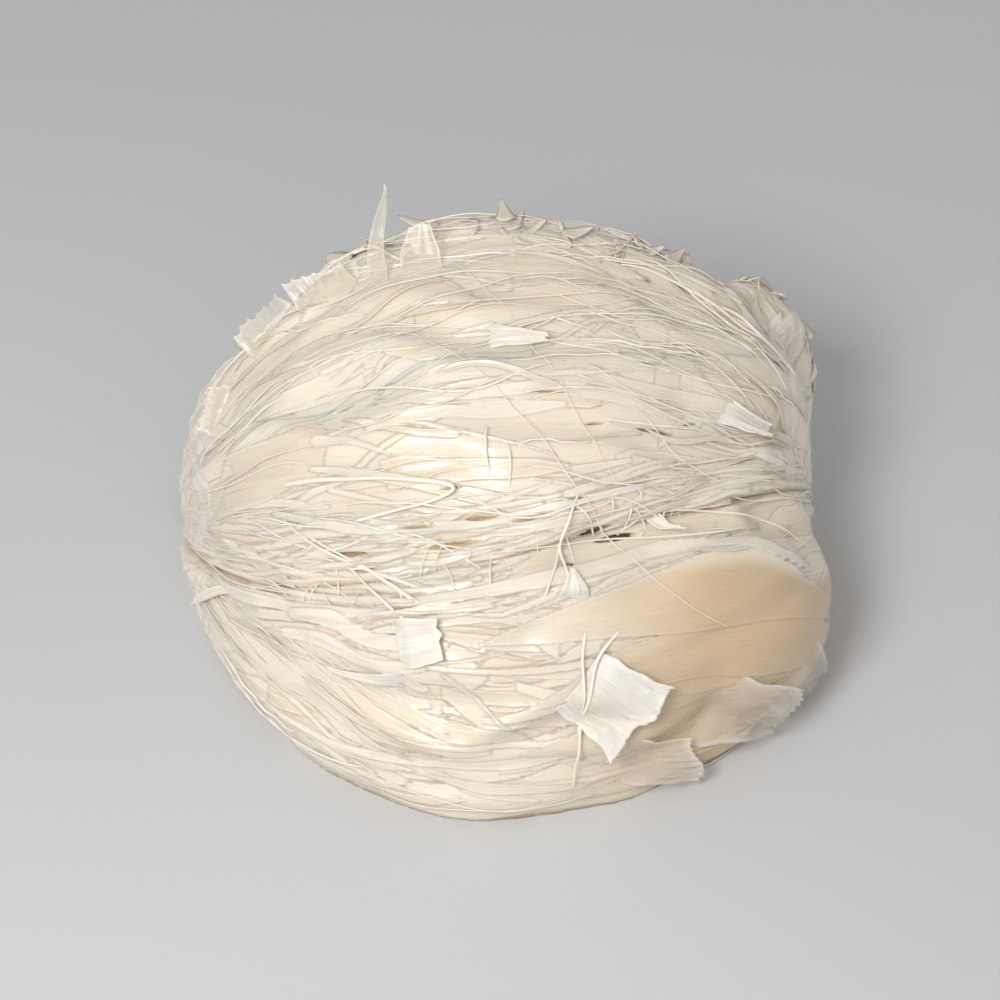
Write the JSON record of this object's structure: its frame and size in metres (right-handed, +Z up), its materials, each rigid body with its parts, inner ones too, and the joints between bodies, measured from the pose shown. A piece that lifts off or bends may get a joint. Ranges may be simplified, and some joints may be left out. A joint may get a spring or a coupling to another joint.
{
  "type": "edible bird's nest",
  "caption": "Half-cup edible bird's nest of long set strands, lying on the flat face where it was cut off its wall, with its lip to the back.",
  "frame": {"origin": "middle of the nest's outline, on the flat wall cut that it rests on", "axes": "+X from the slim left foot to the right foot with the rolled lobe, +Y towards the lip of the cup, +Z up, out from the wall that it was cut off"},
  "size_m": [0.0842, 0.0714, 0.0461],
  "materials": {
    "strands": "satin"
  },
  "bodies": {
    "root": {"nest": "strands"}
  },
  "joints": []
}
